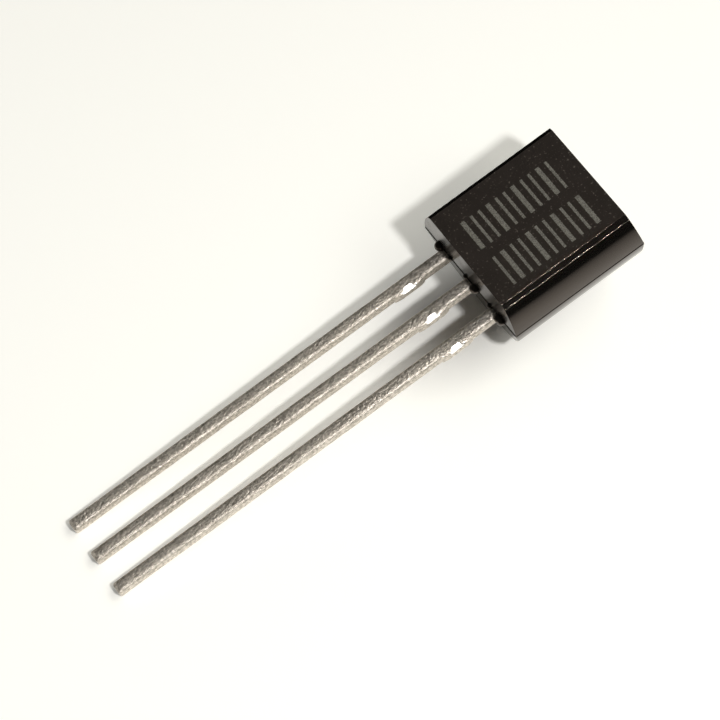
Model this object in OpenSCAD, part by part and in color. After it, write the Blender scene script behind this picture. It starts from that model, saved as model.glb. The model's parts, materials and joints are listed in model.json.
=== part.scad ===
// TO-92 transistor: a stamped three-lead frame with a silicon chip on its middle lead,
// moulded into a small epoxy package with a flat front and a rounded back.
// It lies with its flat side up, on the edge of its rounded back and the tips of its leads.

/* [Moulded body] */
// Width of the body across the parting line
body_w = 4.82; // [4.6:0.02:5.2]
// Height of the body from its lead end to its top end, at the parting line
body_h = 4.8; // [4.5:0.05:5.3]
// Depth from the flat front to the parting line
front_d = 1.25; // [1.1:0.05:1.5]
// Depth from the parting line to the crown of the rounded back
back_d = 2.2; // [1.9:0.05:2.3]
// Width of the flat front between its chamfers
flat_w = 3.7; // [3.4:0.05:3.8]
// Width of the chamfer along each side of the flat front
chamfer_w = 0.15; // [0.08:0.01:0.2]
// Depth of the chamfer along each side of the flat front
chamfer_d = 0.11; // [0.06:0.01:0.15]
// Draft of the end walls, in degrees
end_draft = 4.4; // [2:0.2:7]
// Ledge where the back half of the mould is wider than the front half
parting_step = 0.025; // [0.01:0.005:0.06]
// Radius of the large beads of resin beside the leads
bead_r = 0.19; // [0.12:0.01:0.24]
// Radius of the small beads of resin beside the leads
small_bead_r = 0.11; // [0.06:0.01:0.15]

/* [Leads] */
// Distance between the centres of neighbouring leads
lead_pitch = 1.27; // [1.2:0.01:1.34]
// Width of a lead
lead_w = 0.42; // [0.38:0.01:0.5]
// Thickness of the leadframe
lead_t = 0.38; // [0.34:0.01:0.45]
// Length of a lead outside the body
lead_len = 13.95; // [12.5:0.05:15]
// Squareness of a lead's tin-coated section: 2 is an ellipse, and more is nearer a rectangle
lead_square = 4; // [2.4:0.2:6]
// Chamfer of the corners of a cut lead tip
tip_chamfer = 0.07; // [0.03:0.01:0.12]
// Length of the slope that the cutter left at the top of a tip
tip_slope_l = 0.11; // [0.05:0.01:0.16]
// Drop of that slope at the very end of the tip
tip_slope_drop = 0.08; // [0.04:0.01:0.12]
// Distance from the body to the middle of the sheared dam bar
dambar_pos = 1.55; // [1.2:0.05:2.2]
// Width of the sheared dam bar along the lead
dambar_w = 0.56; // [0.4:0.02:0.7]
// Length of the taper at each end of the dam bar stub
dambar_taper = 0.28; // [0.1:0.02:0.32]
// How far the stub of the dam bar stands out of the lead's near side
dambar_stub = 0.08; // [0.05:0.01:0.12]
// Depth of the nick that the trimming punch left in the lead's far side
dambar_nick = 0.03; // [0.01:0.01:0.06]
// Length of the facet that the trimming punch pressed into the stub's upper edge
facet_l = 0.5; // [0.4:0.02:0.56]
// Length over which each end of that facet narrows to its point
facet_point = 0.14; // [0.08:0.02:0.18]
// Slope of that facet, in degrees
facet_slope = 30; // [24:1:34]
// Distance from the lead's middle line at which that facet starts
facet_start = 0.13; // [0.1:0.01:0.15]

/* [Leadframe inside the body] */
// Depth inside the body at which the bonding posts start
post_x = 0.75; // [0.6:0.05:0.9]
// Length of a bonding post
post_l = 1.05; // [0.9:0.05:1.1]
// Width of a bonding post
post_w = 0.95; // [0.8:0.05:1]
// Chamfer of the post and pad corners
pad_chamfer = 0.16; // [0.08:0.02:0.24]
// Width and depth of the notch that locks a post in the resin
lock_notch = 0.22; // [0.14:0.02:0.28]
// Width of the locking barb on the middle lead
barb_w = 0.66; // [0.58:0.02:0.7]
// Length of the locking barb on the middle lead
barb_l = 0.3; // [0.2:0.05:0.4]
// Depth inside the body at which the chip pad starts
pad_x = 2.1; // [2:0.05:2.3]
// Length of the chip pad
pad_l = 1.6; // [1.4:0.05:1.8]
// Width of the chip pad
pad_w = 2.8; // [2:0.1:3.2]

/* [Chip and bonds] */
// Side of the square silicon chip
die_side = 0.56; // [0.4:0.02:0.8]
// Thickness of the silicon chip
die_t = 0.2; // [0.15:0.01:0.28]
// Thickness of the solder under the chip
solder_t = 0.03; // [0.02:0.005:0.04]
// Width of the solder fillet round the chip
solder_rim = 0.05; // [0.03:0.01:0.08]
// Diameter of a gold bond wire
wire_d = 0.05; // [0.03:0.005:0.07]
// Height of a wire's loop above the straight line between its ends
wire_rise = 0.3; // [0.2:0.02:0.4]
// Diameter of the ball bond on the chip
ball_d = 0.13; // [0.09:0.01:0.16]
// Height of the ball bond, and of the stitch bond on the post
bond_h = 0.06; // [0.04:0.01:0.08]
// Length and width of the stitch bond on the post
stitch_side = 0.14; // [0.1:0.01:0.18]

/* [Hidden] */
$fn = 96;

// How far a cutting shape reaches past what it cuts
over = 0.5;
// How far a lead's bar runs into the wider metal that it joins
joint_lap = 0.2;
// Sides of a lead's section, a multiple of four
lead_sides = 32;
// Sides of a bond wire, and rings along it
wire_sides = 8;
wire_rings = 14;
// Sides of the small ball bond
ball_sides = 12;
// Share of a bead's radius by which its centre stands off the lead's side
bead_stand = 0.5;
// Share of a bead's radius by which its centre lies under the parting plane
bead_drop = 0.1;
// Share of the chip's side from its middle to each of its bonding pads
die_pad_share = 0.25;
// Share of a post's width from its middle to the stitch bond
stitch_share = 0.25;

// The front half's section is a circle through its parting line and the chamfer's edge
front_half_w = body_w / 2 - parting_step;
shoulder_half_w = flat_w / 2 + chamfer_w;
shoulder_z = front_d - chamfer_d;
front_centre_z = (shoulder_half_w ^ 2 + shoulder_z ^ 2 - front_half_w ^ 2) / (2 * shoulder_z);
front_r = norm([front_half_w, front_centre_z]);

// The back half's section is a circle through its parting line and the crown
back_r = ((body_w / 2) ^ 2 + back_d ^ 2) / (2 * back_d);
back_centre_z = back_r - back_d;

// The lower lead-end edge of the back is set in by the draft of the end wall
crown_inset = back_d * tan(end_draft);
// The leads slope down until their tips and that edge lie on one surface
rest_tilt = atan((back_d - lead_t) / (lead_len + crown_inset));
rest_z = lead_len * sin(rest_tilt) + lead_t * cos(rest_tilt);
tip_x = -lead_len * cos(rest_tilt);
crown_x = (body_h - crown_inset) * cos(rest_tilt) + back_d * sin(rest_tilt);
parting_x = body_h * cos(rest_tilt);
middle_x = (tip_x + max(crown_x, parting_x)) / 2;

// Where the chip sits on its pad, and where each wire starts and ends beside the middle line
die_x = pad_x + pad_l / 2;
die_top = solder_t + die_t;
wire_start_x = die_x - die_side * die_pad_share;
wire_start_y = die_side * die_pad_share;
wire_end_x = post_x + post_l - pad_chamfer - stitch_side;
wire_end_y = lead_pitch - post_w * stitch_share;
// A wire is drawn between the middles of its two bonds
wire_start_z = die_top + bond_h / 2;
wire_end_z = bond_h / 2;

// Points of a bar's section under its coat of tin: crowned sides and well-rounded edges.
// A narrow flat is left in the middle of each side, so the bar is exactly w wide and t thick.
function tinned_section(w, t) =
    let (power = 2 / lead_square, reach = pow(cos(180 / lead_sides), power))
    [for (i = [0:lead_sides - 1])
        let (a = 360 * (i + 0.5) / lead_sides)
        [w / 2 * sign(cos(a)) * pow(abs(cos(a)), power) / reach,
         t / 2 * sign(sin(a)) * pow(abs(sin(a)), power) / reach]];

// Turns the package from its own frame, lead plane level, to the way it lies
module at_rest() {
    translate([-middle_x, 0, rest_z])
        rotate([0, -rest_tilt, 0])
            children();
}

// Extrudes a section drawn in Y and Z along X
module along_x(length) {
    rotate([90, 0, 90])
        linear_extrude(length)
            children();
}

// Extrudes a profile drawn in X and Z across Y
module across_y(width) {
    rotate([90, 0, 0])
        linear_extrude(width, center = true)
            children();
}

// Extrudes a plan drawn in X and Y through the leadframe's thickness
module through_frame() {
    translate([0, 0, -lead_t])
        linear_extrude(lead_t)
            children();
}

// Section of the front half: curved flanks, chamfers and the flat
module front_section() {
    reach = body_w / 2 + chamfer_w;
    reach_z = front_d - chamfer_d * (reach - flat_w / 2) / chamfer_w;
    intersection() {
        translate([0, front_centre_z])
            circle(r = front_r);
        polygon([[-reach, 0], [reach, 0], [reach, reach_z],
                 [flat_w / 2, front_d], [-flat_w / 2, front_d], [-reach, reach_z]]);
    }
}

// Section of the back half: one arc from parting line to parting line
module back_section() {
    intersection() {
        translate([0, back_centre_z])
            circle(r = back_r);
        translate([-body_w, -back_d - over])
            square([2 * body_w, back_d + over]);
    }
}

// What lies between the two end walls, which lean inwards as they leave the parting plane
module between_end_walls(setback, depth) {
    lean = tan(end_draft);
    low_x = setback - over * lean;
    high_x = setback + (depth + over) * lean;
    across_y(2 * body_w)
        polygon([[low_x, -over], [body_h - low_x, -over],
                 [body_h - high_x, depth + over], [high_x, depth + over]]);
}

// One half of the mould's cavity
module mould_half(setback, depth) {
    intersection() {
        translate([-over, 0, 0])
            along_x(body_h + 2 * over)
                children();
        between_end_walls(setback, depth);
    }
}

// A bead of resin squeezed out of the mould beside a lead, on its near (-1) or far (1) side.
// One pole of its ball points out of the body, and the other is buried in it.
module resin_bead(lead_y, side, r) {
    translate([0, lead_y + side * (lead_w / 2 + r * bead_stand), -r * bead_drop])
        rotate([0, 90, 0])
            sphere(r = r);
}

module resin_beads() {
    resin_bead(lead_pitch, 1, bead_r);
    resin_bead(0, -1, bead_r);
    resin_bead(-lead_pitch, -1, bead_r);
    resin_bead(lead_pitch, -1, small_bead_r);
    resin_bead(0, 1, small_bead_r);
    resin_bead(-lead_pitch, 1, small_bead_r);
}

// Plan that trims a lead's tip to length and takes its two corners off
module tip_trim() {
    side = lead_w / 2 + over;
    slant = over + tip_chamfer;
    polygon([[-lead_len, -lead_w / 2 + tip_chamfer], [-lead_len, lead_w / 2 - tip_chamfer],
             [-lead_len + slant, side], [over + body_h, side],
             [over + body_h, -side], [-lead_len + slant, -side]]);
}

// Side view that slopes a lead's tip where it was cut
module tip_profile() {
    polygon([[-lead_len, -lead_t - over], [-lead_len, -tip_slope_drop],
             [-lead_len + tip_slope_l, 0], [-lead_len + tip_slope_l, over],
             [body_h + over, over], [body_h + over, -lead_t - over]]);
}

// Plan of the stub that the sheared dam bar leaves on the near side
module dambar_stub_plan() {
    root = dambar_w / 2 + dambar_taper;
    translate([-dambar_pos, 0])
        polygon([[-root, 0], [-root, -lead_w / 2], [-dambar_w / 2, -lead_w / 2 - dambar_stub],
                 [dambar_w / 2, -lead_w / 2 - dambar_stub], [root, -lead_w / 2], [root, 0]]);
}

// The stub, with edges as round as the lead's
module dambar_bulge() {
    root = dambar_w / 2 + dambar_taper;
    intersection() {
        translate([-dambar_pos - root, 0, -lead_t / 2])
            along_x(2 * root)
                polygon(tinned_section(lead_w + 2 * dambar_stub, lead_t));
        through_frame()
            dambar_stub_plan();
    }
}

// What the trimming punch presses away from the stub's upper edge: a facet that narrows
// upwards, towards its two points
module punched_facet() {
    translate([-dambar_pos, -facet_start, 0])
        rotate([facet_slope, 0, 0])
            linear_extrude(over)
                polygon([[-facet_l / 2, -lead_w], [facet_l / 2, -lead_w],
                         [facet_l / 2, -facet_point], [facet_l / 2 - facet_point, 0],
                         [-facet_l / 2 + facet_point, 0], [-facet_l / 2, -facet_point]]);
}

// Plan of the nick that the trimming punch leaves on the far side
module dambar_nick_plan() {
    translate([-dambar_pos - dambar_w / 2, lead_w / 2 - dambar_nick])
        square([dambar_w, dambar_nick + over]);
}

// A lead's bar, from its cut tip to a depth inside the body, with the marks of the dam bar
module lead_bar(inside) {
    difference() {
        intersection() {
            union() {
                translate([-lead_len - over, 0, -lead_t / 2])
                    along_x(lead_len + over + inside)
                        polygon(tinned_section(lead_w, lead_t));
                dambar_bulge();
            }
            translate([0, 0, -lead_t - over])
                linear_extrude(lead_t + 2 * over)
                    tip_trim();
            across_y(body_w)
                tip_profile();
        }
        translate([0, 0, -lead_t - over])
            linear_extrude(lead_t + 2 * over)
                dambar_nick_plan();
        punched_facet();
    }
}

// Plan of a bonding post, with a locking notch in its outer side
module post_plan() {
    difference() {
        polygon([[post_x, -post_w / 2], [post_x + post_l - pad_chamfer, -post_w / 2],
                 [post_x + post_l, -post_w / 2 + pad_chamfer],
                 [post_x + post_l, post_w / 2 - pad_chamfer],
                 [post_x + post_l - pad_chamfer, post_w / 2], [post_x, post_w / 2]]);
        translate([post_x + (post_l - lock_notch) / 2, post_w / 2 - lock_notch])
            square([lock_notch, lock_notch + over]);
    }
}

// Turns a plan over to the near side (-1), or leaves it on the far side (1)
module on_side(side) {
    mirror([0, side < 0 ? 1 : 0])
        children();
}

// An outer lead: bar and bonding post, with the post's locking notch on the given side
module outer_lead(side) {
    translate([0, side * lead_pitch, 0]) {
        lead_bar(post_x + joint_lap);
        through_frame()
            on_side(side)
                post_plan();
    }
}

// The middle lead: bar, locking barb and the pad that carries the chip
module middle_lead() {
    lead_bar(post_x + joint_lap);
    through_frame() {
        translate([post_x, -barb_w / 2])
            square([barb_l, barb_w]);
        translate([post_x, -lead_w / 2])
            square([pad_x - post_x + joint_lap, lead_w]);
        polygon([[pad_x, -pad_w / 2 + pad_chamfer], [pad_x + pad_chamfer, -pad_w / 2],
                 [pad_x + pad_l - pad_chamfer, -pad_w / 2],
                 [pad_x + pad_l, -pad_w / 2 + pad_chamfer],
                 [pad_x + pad_l, pad_w / 2 - pad_chamfer],
                 [pad_x + pad_l - pad_chamfer, pad_w / 2],
                 [pad_x + pad_chamfer, pad_w / 2], [pad_x, pad_w / 2 - pad_chamfer]]);
    }
}

module solder() {
    side = die_side + 2 * solder_rim;
    translate([die_x - side / 2, -side / 2, 0])
        cube([side, side, solder_t]);
}

module die() {
    translate([die_x - die_side / 2, -die_side / 2, solder_t])
        cube([die_side, die_side, die_t]);
}

// A bond wire: ball on the chip, a loop of round wire and a stitch on the post
module bond_wire(side) {
    start = [wire_start_x, side * wire_start_y, wire_start_z];
    end = [wire_end_x, side * wire_end_y, wire_end_z];
    run = end - start;
    flat_run = norm([run[0], run[1]]);
    across = [-run[1], run[0], 0] / flat_run;
    points = [for (i = [0:wire_rings], k = [0:wire_sides - 1])
        let (s = i / wire_rings,
             centre = start + run * s + [0, 0, 4 * wire_rise * s * (1 - s)],
             slope = run + [0, 0, 4 * wire_rise * (1 - 2 * s)],
             up = cross(slope / norm(slope), across),
             a = 360 * (k + 0.5) / wire_sides)
        centre + wire_d / 2 * (cos(a) * across - sin(a) * up)];
    sides = [for (i = [0:wire_rings - 1], k = [0:wire_sides - 1])
        let (next = (k + 1) % wire_sides)
        [i * wire_sides + k, (i + 1) * wire_sides + k,
         (i + 1) * wire_sides + next, i * wire_sides + next]];
    first_cap = [for (k = [0:wire_sides - 1]) k];
    last_cap = [for (k = [0:wire_sides - 1]) wire_rings * wire_sides + wire_sides - 1 - k];
    polyhedron(points = points, faces = concat(sides, [first_cap], [last_cap]));
    translate([start[0], start[1], die_top])
        cylinder(d = ball_d, h = bond_h, $fn = ball_sides);
    translate([end[0] - stitch_side / 2, end[1] - stitch_side / 2, 0])
        cube([stitch_side, stitch_side, bond_h]);
}

// The epoxy package, solid round everything that is moulded into it
module moulded_body() {
    color("#2d2a28")
        at_rest()
            difference() {
                union() {
                    mould_half(parting_step, front_d)
                        front_section();
                    mirror([0, 0, 1])
                        mould_half(0, back_d)
                            mirror([0, 1])
                                back_section();
                    resin_beads();
                }
                outer_lead(1);
                middle_lead();
                outer_lead(-1);
                solder();
                die();
                bond_wire(1);
                bond_wire(-1);
            }
}

module emitter_lead() {
    color("#a39c92")
        at_rest()
            outer_lead(1);
}

module collector_lead() {
    color("#a39c92")
        at_rest()
            middle_lead();
}

module base_lead() {
    color("#a39c92")
        at_rest()
            outer_lead(-1);
}

module silicon_die() {
    color("#4b4f58")
        at_rest()
            die();
}

module die_bond() {
    color("#b9bcc0")
        at_rest()
            solder();
}

module emitter_wire() {
    color("#d9a520")
        at_rest()
            bond_wire(1);
}

module base_wire() {
    color("#d9a520")
        at_rest()
            bond_wire(-1);
}

moulded_body();
emitter_lead();
collector_lead();
base_lead();
silicon_die();
die_bond();
emitter_wire();
base_wire();
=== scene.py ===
import json
import math

import bmesh
import bpy
from mathutils import Matrix, Vector, noise


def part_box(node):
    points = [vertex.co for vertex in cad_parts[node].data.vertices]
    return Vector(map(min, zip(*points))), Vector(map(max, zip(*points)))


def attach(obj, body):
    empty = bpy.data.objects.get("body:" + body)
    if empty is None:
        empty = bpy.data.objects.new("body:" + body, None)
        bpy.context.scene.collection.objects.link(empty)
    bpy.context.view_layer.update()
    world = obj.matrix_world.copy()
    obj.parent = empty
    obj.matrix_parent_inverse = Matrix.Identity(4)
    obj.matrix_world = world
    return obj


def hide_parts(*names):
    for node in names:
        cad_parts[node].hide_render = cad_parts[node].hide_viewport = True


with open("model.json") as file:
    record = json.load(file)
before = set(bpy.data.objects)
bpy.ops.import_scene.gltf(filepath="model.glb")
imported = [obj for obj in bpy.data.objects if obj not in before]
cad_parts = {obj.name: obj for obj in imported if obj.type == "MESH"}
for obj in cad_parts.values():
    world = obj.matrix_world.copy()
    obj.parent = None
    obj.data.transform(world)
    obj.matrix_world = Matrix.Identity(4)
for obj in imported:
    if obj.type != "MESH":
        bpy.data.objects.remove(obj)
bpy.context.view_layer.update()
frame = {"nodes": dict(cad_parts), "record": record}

MM = 0.001

# ---------------------------------------------------------------------------------------
# The moulded package
# Black epoxy moulding compound, pressed round the leadframe in a two-part mould. The flat
# front is matte from the spark-eroded cavity, and the drafted sides are polished. The back
# half is slightly wider, which leaves a ledge along the parting line.
body_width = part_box("moulded_body")[1].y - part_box("moulded_body")[0].y
body_height = 4.8 * MM
front_depth = 1.25 * MM
back_depth = 2.2 * MM
flat_half_width = 1.85 * MM
chamfer_width = 0.15 * MM
chamfer_depth = 0.11 * MM
parting_step = 0.018 * MM
end_draft = math.radians(4.4)
round_sides = 240
mould_radius = 0.07 * MM
flat_edge_radius = 0.006 * MM

# The package is modelled with its parting plane level, and then laid down as it rests.
mounts = {mount["name"]: mount for mount in frame["record"]["mounts"]}
flat_normal = Vector(mounts["flat_front"]["axis"])
away_from_tips = -Vector(mounts["collector_pin"]["axis"])
package_origin = (Vector(mounts["flat_front"]["pos_m"]) - flat_normal * front_depth
                  - away_from_tips * body_height / 2)
as_it_rests = Matrix.Translation(package_origin) @ Matrix(
    (away_from_tips, flat_normal.cross(away_from_tips), flat_normal)).transposed().to_4x4()
rest_tilt = math.atan2(away_from_tips.z, away_from_tips.x)


def deselect_all():
    if bpy.context.object and bpy.context.object.mode != "OBJECT":
        bpy.ops.object.mode_set(mode="OBJECT")
    bpy.ops.object.select_all(action="DESELECT")


def pick(piece):
    deselect_all()
    piece.select_set(True)
    bpy.context.view_layer.objects.active = piece


def name_new(name):
    """Names the object that was just added, and keeps its place in its mesh."""
    piece = bpy.context.object
    piece.name = name
    piece.data.name = name
    bpy.ops.object.transform_apply(location=True, rotation=True, scale=True)
    return piece


def edit(piece, select_type):
    pick(piece)
    bpy.ops.object.mode_set(mode="EDIT")
    bpy.ops.mesh.select_mode(type=select_type)


def cut_off(piece, point, outward):
    """Cuts away what lies beyond a plane, and closes the cut."""
    edit(piece, "FACE")
    bpy.ops.mesh.select_all(action="SELECT")
    bpy.ops.mesh.bisect(plane_co=point, plane_no=Vector(outward).normalized(),
                        use_fill=True, clear_outer=True, threshold=1e-8)
    bpy.ops.object.mode_set(mode="OBJECT")


def cut_across(piece, start, end, step):
    """Cuts loops across a long piece, so that its surface can be made uneven."""
    edit(piece, "FACE")
    for k in range(round((end - start) / step) + 1):
        bpy.ops.mesh.select_all(action="SELECT")
        bpy.ops.mesh.bisect(plane_co=(start + k * step, 0, 0), plane_no=(1, 0, 0),
                            threshold=1e-8)
    bpy.ops.object.mode_set(mode="OBJECT")


def round_edges(piece, wanted, radius, segments=3):
    """Rounds the edges that the test wanted(middle, angle, direction) accepts."""
    edit(piece, "EDGE")
    bpy.ops.mesh.select_all(action="DESELECT")
    cage = bmesh.from_edit_mesh(piece.data)
    for edge in cage.edges:
        if len(edge.link_faces) == 2:
            start, end = edge.verts[0].co, edge.verts[1].co
            if wanted((start + end) / 2, edge.calc_face_angle(), (end - start).normalized()):
                edge.select_set(True)
    bmesh.update_edit_mesh(piece.data)
    bpy.ops.mesh.bevel(offset=radius, segments=segments, affect="EDGES", clamp_overlap=True)
    bpy.ops.object.mode_set(mode="OBJECT")


def make_uneven(piece, depth, lump, stretch=1, applies_to=lambda at: 1):
    """Moves the surface in and out by up to depth, in lumps of about the given size."""
    piece.data.update()
    moves = []
    for vertex in piece.data.vertices:
        at = Vector((vertex.co.x / stretch, vertex.co.y, vertex.co.z)) / lump
        moves.append(vertex.normal * noise.noise(at) * depth * applies_to(vertex.co))
    for vertex, move in zip(piece.data.vertices, moves):
        vertex.co += move


def apply_modifier(piece, kind, **settings):
    pick(piece)
    modifier = piece.modifiers.new(kind.title(), kind)
    for setting, value in settings.items():
        setattr(modifier, setting, value)
    bpy.ops.object.modifier_apply(modifier=modifier.name)


def unite(piece, other):
    apply_modifier(piece, "BOOLEAN", operation="UNION", solver="EXACT", object=other)
    bpy.data.objects.remove(other)


def lay_down(piece):
    pick(piece)
    piece.matrix_world = as_it_rests
    bpy.ops.object.transform_apply(location=True, rotation=True, scale=True)


def mould_half(name, side, radius, centre_z, setback, foot_z):
    """One half of the package, on the front (1) or back (-1) side of the parting plane."""
    deselect_all()
    bpy.ops.mesh.primitive_cylinder_add(
        vertices=round_sides, radius=radius, depth=body_height * 2, end_fill_type="NGON",
        location=(body_height / 2, 0, centre_z), rotation=(0, math.radians(90), 0))
    half = name_new(name)
    lean = side * math.sin(end_draft)
    cut_off(half, (0, 0, foot_z), (0, 0, -side))
    cut_off(half, (setback, 0, 0), (-math.cos(end_draft), 0, lean))
    cut_off(half, (body_height - setback, 0, 0), (math.cos(end_draft), 0, lean))
    return half


front_half_width = body_width / 2 - parting_step
shoulder_half_width = flat_half_width + chamfer_width
shoulder_z = front_depth - chamfer_depth
front_centre_z = ((shoulder_half_width ** 2 + shoulder_z ** 2 - front_half_width ** 2)
                  / (2 * shoulder_z))
front_radius = math.hypot(front_half_width, front_centre_z)
back_radius = ((body_width / 2) ** 2 + back_depth ** 2) / (2 * back_depth)

# The front half is let a little into the back half, so that the two join without a gap.
let_in = 0.06 * MM
package = mould_half("epoxy_package", 1, front_radius, front_centre_z, parting_step, -let_in)
cut_off(package, (0, 0, front_depth), (0, 0, 1))
for side in (-1, 1):
    cut_off(package, (0, side * flat_half_width, front_depth),
            (0, side * chamfer_depth, chamfer_width))
sharp = math.radians(12)
clear_of_parting = 0.001 * MM
round_edges(package, lambda at, angle, along: angle > sharp and at.z > clear_of_parting
            and abs(along.x) < 0.5 and abs(along.z) > 0.5, mould_radius, 4)
just_below_shoulder = shoulder_z - 0.03 * MM
round_edges(package, lambda at, angle, along: angle > sharp and at.z > just_below_shoulder,
            flat_edge_radius, 6)

back = mould_half("package_back", -1, back_radius, back_radius - back_depth, 0, 0)
round_edges(back, lambda at, angle, along: angle > sharp and at.z < -clear_of_parting,
            mould_radius, 4)
unite(package, back)

# The insert that forms the flat leaves a fine raised line along the outside of each chamfer,
# and a finer one along the near edge of the flat.
lip_end = 0.1 * MM
lip_sink = 0.002 * MM
lip_lump = 0.06 * MM
chamfer_lip_radius = 0.024 * MM
flat_lip_radius = 0.01 * MM
for side, corner_y, corner_z, lip_radius in (
        (1, shoulder_half_width, shoulder_z, chamfer_lip_radius),
        (-1, shoulder_half_width, shoulder_z, chamfer_lip_radius),
        (-1, flat_half_width, front_depth, flat_lip_radius)):
    deselect_all()
    bpy.ops.mesh.primitive_cylinder_add(
        vertices=16, radius=lip_radius, depth=body_height - 2 * lip_end - 2 * parting_step,
        location=(body_height / 2, side * (corner_y - lip_radius / 2),
                  corner_z - lip_radius / 2 - lip_sink), rotation=(0, math.radians(90), 0))
    lip = name_new("lip")
    cut_across(lip, lip_end + lip_lump, body_height - lip_end - lip_lump, lip_lump / 2)
    make_uneven(lip, lip_radius / 3.5, lip_lump, 2)
    unite(package, lip)

# Beads of resin were squeezed out of the mould beside the leads, at the parting line. The one
# beside the base lead ran down its side.
lead_pitch = 1.27 * MM
lead_width = 0.42 * MM
large_bead = 0.175 * MM
small_bead = 0.065 * MM
bead_roughness = 0.012 * MM
bead_lump = 0.13 * MM
for place, side, radius, run in ((1, 1, large_bead, 1), (0, -1, large_bead, 1),
                                 (-1, -1, large_bead, 1.3), (1, -1, small_bead, 1),
                                 (0, 1, small_bead, 1), (-1, 1, small_bead, 1)):
    deselect_all()
    bpy.ops.mesh.primitive_uv_sphere_add(
        segments=32, ring_count=20, radius=radius, rotation=(0, math.radians(90), 0),
        location=(0, place * lead_pitch + side * (lead_width + radius * run) / 2, -radius / 10))
    bpy.ops.transform.resize(value=(1, run, 1))
    bead = name_new("bead")
    make_uneven(bead, bead_roughness, bead_lump)
    unite(package, bead)

# The chamfers are shaded flat, since they are true planes between their two raised lines.
pick(package)
bpy.ops.object.shade_smooth_by_angle(angle=math.radians(25))
chamfer_tilt = math.atan2(chamfer_depth, chamfer_width)
for face in package.data.polygons:
    tilt = math.atan2(abs(face.normal.y), face.normal.z)
    if abs(tilt - chamfer_tilt) < 0.005:
        face.use_smooth = False
apply_modifier(package, "WEIGHTED_NORMAL", keep_sharp=True)
lay_down(package)
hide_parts("moulded_body")
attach(package, "root")


def new_material(name):
    material = bpy.data.materials.new(name)
    material.use_nodes = True
    nodes, links = material.node_tree.nodes, material.node_tree.links
    return material, nodes, links, nodes["Principled BSDF"]


# Fine grain, shared by the epoxy, the ink and the metals: an even grain, sparse light specks
# and broad cloudy patches, all from the piece's own coordinates.
grain_group = bpy.data.node_groups.new("fine_grain", "ShaderNodeTree")
for socket, kind in (("Coordinates", "NodeSocketVector"), ("Grains per metre", "NodeSocketFloat")):
    grain_group.interface.new_socket(name=socket, in_out="INPUT", socket_type=kind)
for socket in ("Grain", "Specks", "Patches"):
    grain_group.interface.new_socket(name=socket, in_out="OUTPUT", socket_type="NodeSocketFloat")


def fill_grain_group():
    nodes, links = grain_group.nodes, grain_group.links
    given = nodes.new("NodeGroupInput")
    result = nodes.new("NodeGroupOutput")

    def layer(share, detail, low, high, output):
        size = nodes.new("ShaderNodeMath")
        size.operation = "MULTIPLY"
        size.inputs[1].default_value = share
        links.new(given.outputs["Grains per metre"], size.inputs[0])
        texture = nodes.new("ShaderNodeTexNoise")
        texture.inputs["Detail"].default_value = detail
        texture.inputs["Roughness"].default_value = 0.6
        links.new(given.outputs["Coordinates"], texture.inputs["Vector"])
        links.new(size.outputs[0], texture.inputs["Scale"])
        spread = nodes.new("ShaderNodeMapRange")
        spread.interpolation_type = "SMOOTHSTEP"
        spread.inputs["From Min"].default_value = low
        spread.inputs["From Max"].default_value = high
        links.new(texture.outputs["Fac"], spread.inputs["Value"])
        links.new(spread.outputs["Result"], result.inputs[output])

    layer(1, 3, 0.25, 0.75, "Grain")
    layer(0.8, 1, 0.62, 0.75, "Specks")
    layer(0.12, 2, 0.3, 0.7, "Patches")


fill_grain_group()


def add_grain(nodes, links, grains_per_metre, stretch=1):
    """Grain that follows the piece's own coordinates, stretched along the leads if asked."""
    place = nodes.new("ShaderNodeTexCoord")
    turn = nodes.new("ShaderNodeMapping")
    turn.inputs["Rotation"].default_value = (0, rest_tilt, 0)
    turn.inputs["Scale"].default_value = (1 / stretch, 1, 1)
    links.new(place.outputs["Object"], turn.inputs["Vector"])
    grain = nodes.new("ShaderNodeGroup")
    grain.node_tree = grain_group
    grain.inputs["Grains per metre"].default_value = grains_per_metre
    links.new(turn.outputs["Vector"], grain.inputs["Coordinates"])
    return grain


def add_mix(nodes, links, factor, first, second):
    """A colour between two others, by a factor that varies over the surface."""
    mix = nodes.new("ShaderNodeMix")
    mix.data_type = "RGBA"
    links.new(factor, mix.inputs["Factor"])
    for socket, colour in zip(mix.inputs[6:8], (first, second)):
        if isinstance(colour, tuple):
            socket.default_value = colour
        else:
            links.new(colour, socket)
    return mix.outputs[2]


def add_range(nodes, links, value, low, high, bottom, top):
    """Spreads a value that runs from low to high over the range from bottom to top."""
    spread = nodes.new("ShaderNodeMapRange")
    for socket, number in (("From Min", low), ("From Max", high), ("To Min", bottom),
                           ("To Max", top)):
        spread.inputs[socket].default_value = number
    links.new(value, spread.inputs["Value"])
    return spread.outputs["Result"]


def add_bump(nodes, links, shader, height, relief):
    """Relief is the real height in metres that the height's range of 0 to 1 stands for."""
    bump = nodes.new("ShaderNodeBump")
    bump.inputs["Strength"].default_value = 1
    bump.inputs["Distance"].default_value = relief
    links.new(height, bump.inputs["Height"])
    links.new(bump.outputs["Normal"], shader.inputs["Normal"])


def epoxy(name, dark, light, roughness_low, roughness_high, relief, ior):
    material, nodes, links, shader = new_material(name)
    grain = add_grain(nodes, links, 16000)
    colour = add_mix(nodes, links, grain.outputs["Specks"], dark, light)
    links.new(colour, shader.inputs["Base Color"])
    links.new(add_range(nodes, links, grain.outputs["Patches"], 0, 1, roughness_low,
                        roughness_high), shader.inputs["Roughness"])
    add_bump(nodes, links, shader, grain.outputs["Grain"], relief)
    shader.inputs["IOR"].default_value = ior
    shader.inputs["Specular Tint"].default_value = (1, 0.84, 0.74, 1)
    return material


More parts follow.
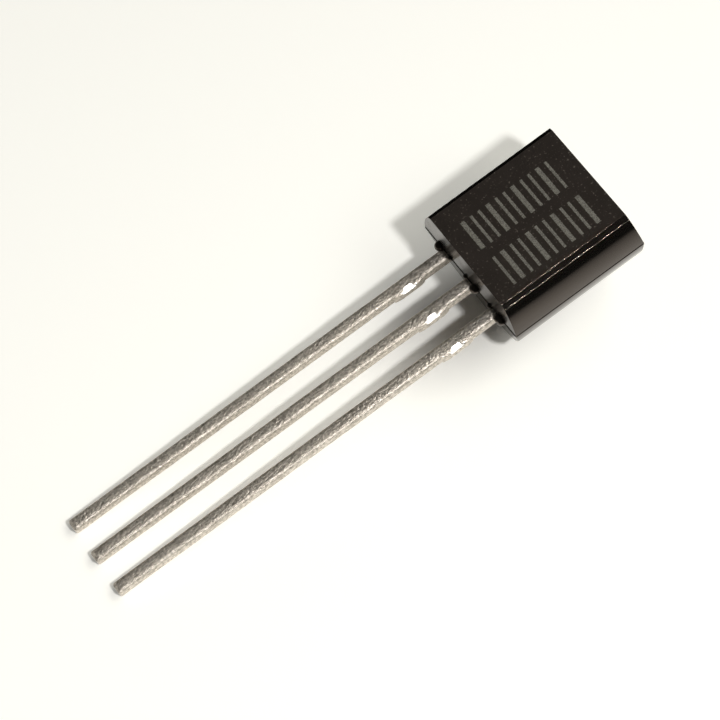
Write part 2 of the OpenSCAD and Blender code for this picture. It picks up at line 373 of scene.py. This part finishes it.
polished = epoxy("polished_epoxy", (0.005, 0.0045, 0.004, 1), (0.008, 0.007, 0.006, 1),
                 0.07, 0.1, 0.0002 * MM, 1.72)
satin = epoxy("satin_epoxy", (0.006, 0.005, 0.0042, 1), (0.011, 0.009, 0.0075, 1),
              0.18, 0.24, 0.0004 * MM, 1.6)
matte = epoxy("matte_epoxy", (0.0115, 0.0095, 0.0085, 1), (0.085, 0.073, 0.064, 1),
              0.46, 0.54, 0.005 * MM, 1.5)
package.data.materials.clear()
for finish in (polished, matte, satin):
    package.data.materials.append(finish)
for face in package.data.polygons:
    along = face.normal.dot(away_from_tips)
    if face.normal.dot(flat_normal) > 0.999:
        face.material_index = 1
    elif abs(along) > 0.98:
        face.material_index = 2

# ---------------------------------------------------------------------------------------
# The printed marks
# Two rows of plain bars, thick and thin, stamped on the flat front in grey epoxy ink. They
# stand where a maker would print its type and lot, and say nothing.
thin_bar = 0.09 * MM
thick_bar = 0.15 * MM
ink_height = 0.003 * MM
bar_gap = 0.198 * MM
ragged = 0.02 * MM
bars_in_row = 11
mark_rows = ((0.72 * MM, 0.57 * MM, 1.12 * MM, 1), (0.8 * MM, -0.98 * MM, 1.14 * MM, 0))
bars = []
for first_x, middle_y, height, offset in mark_rows:
    bar_x = first_x
    for k in range(bars_in_row):
        width = thick_bar if (k + offset) % 3 == 1 else thin_bar
        deselect_all()
        bpy.ops.mesh.primitive_grid_add(x_subdivisions=4, y_subdivisions=28, size=1)
        bar = name_new("bar")
        for vertex in bar.data.vertices:
            edge = Vector((round(vertex.co.x * 2), vertex.co.y * 25, k + offset * 20))
            vertex.co.x = bar_x + width * (vertex.co.x + 0.5) + noise.noise(edge) * ragged
            vertex.co.y = middle_y + height * vertex.co.y
            vertex.co.z = front_depth
        edit(bar, "FACE")
        bpy.ops.mesh.select_all(action="SELECT")
        bpy.ops.mesh.extrude_region_move(TRANSFORM_OT_translate={"value": (0, 0, ink_height)})
        bpy.ops.mesh.select_all(action="SELECT")
        bpy.ops.mesh.normals_make_consistent(inside=False)
        bpy.ops.object.mode_set(mode="OBJECT")
        bars.append(bar)
        bar_x += width + bar_gap
deselect_all()
for bar in bars:
    bar.select_set(True)
bpy.context.view_layer.objects.active = bars[0]
bpy.ops.object.join()
marks = name_new("printed_marks")
lay_down(marks)

ink, nodes, links, shader = new_material("grey_ink")
grain = add_grain(nodes, links, 30000)
ink_colour = add_mix(nodes, links, grain.outputs["Grain"], (0.05, 0.047, 0.04, 1),
                     (0.22, 0.212, 0.185, 1))
links.new(ink_colour, shader.inputs["Base Color"])
links.new(add_range(nodes, links, grain.outputs["Patches"], 0, 1, 0.5, 0.62),
          shader.inputs["Roughness"])
add_bump(nodes, links, shader, grain.outputs["Grain"], 0.003 * MM)
marks.data.materials.append(ink)
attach(marks, "root")

# ---------------------------------------------------------------------------------------
# The leads
# Stamped from one strip of copper alloy and dipped in tin, which rounds their edges and
# leaves them dull and streaky. The dam bar that joined them was sheared off near the body.
lead_length = 13.95 * MM
dambar_place = 1.55 * MM
dambar_reach = 0.6 * MM
tip_radius = 0.03 * MM
sheared_radius = 0.012 * MM
facet_slope = math.radians(30)
facet_half_length = 0.3 * MM
facet_height = 0.16 * MM

tin, nodes, links, shader = new_material("tin_plate")
grain = add_grain(nodes, links, 14000, 1.4)
lumps = add_grain(nodes, links, 20000)
tin_colour = add_mix(nodes, links, grain.outputs["Grain"], (0.42, 0.375, 0.325, 1),
                     (0.94, 0.87, 0.79, 1))
links.new(tin_colour, shader.inputs["Base Color"])
links.new(add_range(nodes, links, lumps.outputs["Grain"], 0, 1, 0.3, 0.6),
          shader.inputs["Roughness"])
height = nodes.new("ShaderNodeMath")
height.operation = "ADD"
links.new(grain.outputs["Grain"], height.inputs[0])
links.new(lumps.outputs["Grain"], height.inputs[1])
add_bump(nodes, links, shader, height.outputs[0], 0.008 * MM)
shader.inputs["Metallic"].default_value = 1

burnished, nodes, links, shader = new_material("burnished_tin")
grain = add_grain(nodes, links, 20000, 2)
burnished_colour = add_mix(nodes, links, grain.outputs["Grain"], (0.7, 0.68, 0.64, 1),
                           (0.85, 0.83, 0.8, 1))
links.new(burnished_colour, shader.inputs["Base Color"])
links.new(add_range(nodes, links, grain.outputs["Patches"], 0, 1, 0.26, 0.34),
          shader.inputs["Roughness"])
add_bump(nodes, links, shader, grain.outputs["Grain"], 0.0015 * MM)
shader.inputs["Metallic"].default_value = 1

for place, lead_name in ((1, "emitter_lead"), (0, "collector_lead"), (-1, "base_lead")):
    lead = bpy.data.objects.new(lead_name + "_tinned", frame["nodes"][lead_name].data.copy())
    bpy.context.collection.objects.link(lead)
    lead.data.transform(as_it_rests.inverted())
    pick(lead)
    bpy.ops.mesh.customdata_custom_splitnormals_clear()
    edit(lead, "FACE")
    bpy.ops.mesh.select_all(action="SELECT")
    bpy.ops.mesh.remove_doubles(threshold=1e-7)
    bpy.ops.mesh.dissolve_limited(angle_limit=math.radians(0.5))
    bpy.ops.object.mode_set(mode="OBJECT")
    crisp = math.radians(24)
    round_edges(lead, lambda at, angle, along: angle > crisp
                and at.x < -lead_length + 0.3 * MM, tip_radius, 4)
    round_edges(lead, lambda at, angle, along: angle > crisp
                and abs(at.x + dambar_place) < dambar_reach, sheared_radius, 2)
    cut_across(lead, -lead_length + 0.15 * MM, -0.05 * MM, 0.06 * MM)
    lead.data.materials.clear()
    lead.data.materials.append(tin)
    lead.data.materials.append(burnished)
    facet = Vector((0, -math.sin(facet_slope), math.cos(facet_slope)))
    for face in lead.data.polygons:
        if (abs(face.center.x + dambar_place) < 0.9 * facet_half_length
                and face.normal.dot(facet) > 0.995):
            face.material_index = 1
    facet_top = place * lead_pitch - lead_width / 2 + facet_height

    def grows_lumpy(at):
        on_facet = abs(at.x + dambar_place) < facet_half_length and at.y < facet_top
        return 0 if on_facet or at.x > -0.02 * MM else 1

    make_uneven(lead, 0.006 * MM, 0.5 * MM, 2, grows_lumpy)
    make_uneven(lead, 0.003 * MM, 0.1 * MM, 1.3, grows_lumpy)
    pick(lead)
    bpy.ops.object.shade_smooth_by_angle(angle=math.radians(35))
    lay_down(lead)
    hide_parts(lead_name)
    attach(lead, "root")

# ---------------------------------------------------------------------------------------
# The chip, its solder and the bond wires
# Sealed in the epoxy: a silicon die soldered to the pad of the middle lead, and gold wires
# from its top to the two outer posts. Their shapes are the solids of the part itself.
def sealed(name, node_names, dark, light, metallic, roughness):
    material, nodes, links, shader = new_material(name)
    grain = add_grain(nodes, links, 20000)
    links.new(add_mix(nodes, links, grain.outputs["Grain"], dark, light),
              shader.inputs["Base Color"])
    links.new(add_range(nodes, links, grain.outputs["Patches"], 0, 1, roughness,
                        roughness + 0.1), shader.inputs["Roughness"])
    shader.inputs["Metallic"].default_value = metallic
    for node_name in node_names:
        node = frame["nodes"][node_name]
        node.data.materials.clear()
        node.data.materials.append(material)


sealed("polished_silicon", ("silicon_die",), (0.16, 0.17, 0.2, 1), (0.22, 0.23, 0.26, 1), 0, 0.2)
sealed("soft_solder", ("die_bond",), (0.5, 0.5, 0.51, 1), (0.66, 0.66, 0.68, 1), 1, 0.3)
sealed("drawn_gold", ("emitter_wire", "base_wire"), (0.8, 0.56, 0.15, 1), (0.9, 0.68, 0.24, 1),
       1, 0.18)

# ---------------------------------------------------------------------------------------
# The studio
# White paper under one small lamp on the base-lead side, and a soft window behind the part.
deselect_all()
bpy.ops.mesh.primitive_plane_add(size=4, location=(0, 0, 0))
floor = bpy.context.object
floor.name = "paper_floor"
paper, nodes, links, shader = new_material("white_paper")
nodes.remove(shader)


def add_math(nodes, links, operation, first, second):
    node = nodes.new("ShaderNodeMath")
    node.operation = operation
    for socket, value in zip(node.inputs, (first, second)):
        if isinstance(value, (int, float)):
            socket.default_value = value
        else:
            links.new(value, socket)
    return node.outputs[0]


place = nodes.new("ShaderNodeTexCoord")
shrink = nodes.new("ShaderNodeMapping")
shrink.inputs["Scale"].default_value = (0.55, 1, 1)
links.new(place.outputs["Object"], shrink.inputs["Vector"])
reach = nodes.new("ShaderNodeVectorMath")
reach.operation = "LENGTH"
links.new(shrink.outputs["Vector"], reach.inputs[0])
path = nodes.new("ShaderNodeLightPath")
diffuse = nodes.new("ShaderNodeBsdfDiffuse")
diffuse.inputs["Color"].default_value = (0.955, 0.95, 0.925, 1)
# The paper glows for the camera and in reflections, weaker near the part and stronger far away:
# painted light on the paper.
painted_glow = nodes.new("ShaderNodeEmission")
painted_glow.inputs["Color"].default_value = (1, 0.997, 0.945, 1)
seen = add_math(nodes, links, "MAXIMUM", path.outputs["Is Camera Ray"],
                add_math(nodes, links, "MAXIMUM", path.outputs["Is Glossy Ray"],
                         path.outputs["Is Transmission Ray"]))
painted_glow_by_reach = add_range(nodes, links, reach.outputs["Value"], 0.025, 0.16, 0.24, 0.4)
# The painted glow fades out where the leads enter the package: painted shade, which keeps the paper
# there dark.
roots = nodes.new("ShaderNodeMapping")
roots.vector_type = "TEXTURE"
roots.inputs["Location"].default_value = (package_origin.x, 0, 0)
roots.inputs["Scale"].default_value = (1.7, 1, 1)
links.new(place.outputs["Object"], roots.inputs["Vector"])
from_roots = nodes.new("ShaderNodeVectorMath")
from_roots.operation = "LENGTH"
links.new(roots.outputs["Vector"], from_roots.inputs[0])
painted_shade_at_roots = add_range(nodes, links, from_roots.outputs["Value"], 0.0006, 0.0024, 0.02, 1)
links.new(add_math(nodes, links, "MULTIPLY", seen,
                   add_math(nodes, links, "MULTIPLY", painted_glow_by_reach, painted_shade_at_roots)),
          painted_glow.inputs["Strength"])
both = nodes.new("ShaderNodeAddShader")
links.new(diffuse.outputs[0], both.inputs[0])
links.new(painted_glow.outputs[0], both.inputs[1])
# Glossy rays see the paper turn black a little beyond the part, while the camera sees it white: a
# painted dark reflection in the polished surfaces.
painted_dark_reflection = nodes.new("ShaderNodeEmission")
painted_dark_reflection.inputs["Strength"].default_value = 0
beyond = add_range(nodes, links, reach.outputs["Value"], 0.007, 0.019, 0, 1)
edge = nodes.new("ShaderNodeMixShader")
links.new(add_math(nodes, links, "MULTIPLY", path.outputs["Is Glossy Ray"], beyond),
          edge.inputs[0])
links.new(both.outputs[0], edge.inputs[1])
links.new(painted_dark_reflection.outputs[0], edge.inputs[2])
links.new(edge.outputs[0], nodes["Material Output"].inputs["Surface"])
floor.data.materials.append(paper)

key_place = Vector((8.7, -55, 85)) * MM
key_target = Vector((0, 0, 1.5)) * MM
bpy.ops.object.light_add(type="AREA", location=key_place)
key = bpy.context.object
key.name = "key_light"
key.rotation_euler = (key_place - key_target).to_track_quat("Z", "Y").to_euler()
key.data.shape = "DISK"
key.data.size = 7.5 * MM
key.data.energy = 0.059
key.data.color = (1, 0.99, 0.965)

# A wide soft window stands high beyond the top end of the part, and the room is dim.
window_bearing = math.radians(-18.6)
window_height = math.radians(48.5)
window_half_width = 0.69
window_half_height = 0.29
window_light = 2.7
room_light = 0.04
world = bpy.data.worlds.new("studio")
bpy.context.scene.world = world
world.use_nodes = True
nodes, links = world.node_tree.nodes, world.node_tree.links
background = nodes["Background"]
background.inputs["Color"].default_value = (1, 0.98, 0.885, 1)
place = nodes.new("ShaderNodeTexCoord")
offsets = nodes.new("ShaderNodeCombineXYZ")
sideways = Vector((-math.sin(window_bearing), math.cos(window_bearing), 0))
upwards = Vector((-math.sin(window_height) * math.cos(window_bearing),
                  -math.sin(window_height) * math.sin(window_bearing), math.cos(window_height)))
for socket, direction in (("X", sideways / window_half_width), ("Y", upwards / window_half_height)):
    offset = nodes.new("ShaderNodeVectorMath")
    offset.operation = "DOT_PRODUCT"
    offset.inputs[1].default_value = direction
    links.new(place.outputs["Generated"], offset.inputs[0])
    links.new(offset.outputs["Value"], offsets.inputs[socket])
from_middle = nodes.new("ShaderNodeVectorMath")
from_middle.operation = "LENGTH"
links.new(offsets.outputs[0], from_middle.inputs[0])
window = nodes.new("ShaderNodeMapRange")
window.interpolation_type = "SMOOTHSTEP"
for socket, number in (("From Min", 0.72), ("From Max", 1.1), ("To Min", window_light),
                       ("To Max", room_light)):
    window.inputs[socket].default_value = number
links.new(from_middle.outputs["Value"], window.inputs["Value"])
links.new(window.outputs["Result"], background.inputs["Strength"])

bpy.ops.object.camera_add(location=(-0.0164996, -0.0390425, 0.0803867),
                          rotation=(math.radians(27.8887), math.radians(5.6753),
                                    math.radians(-34.0356)))
camera = bpy.context.object
camera.data.sensor_width = 36
camera.data.lens = 149.4
camera.data.clip_start = 0.005
camera.data.clip_end = 5
bpy.context.scene.camera = camera
bpy.context.scene.view_settings.view_transform = "Standard"
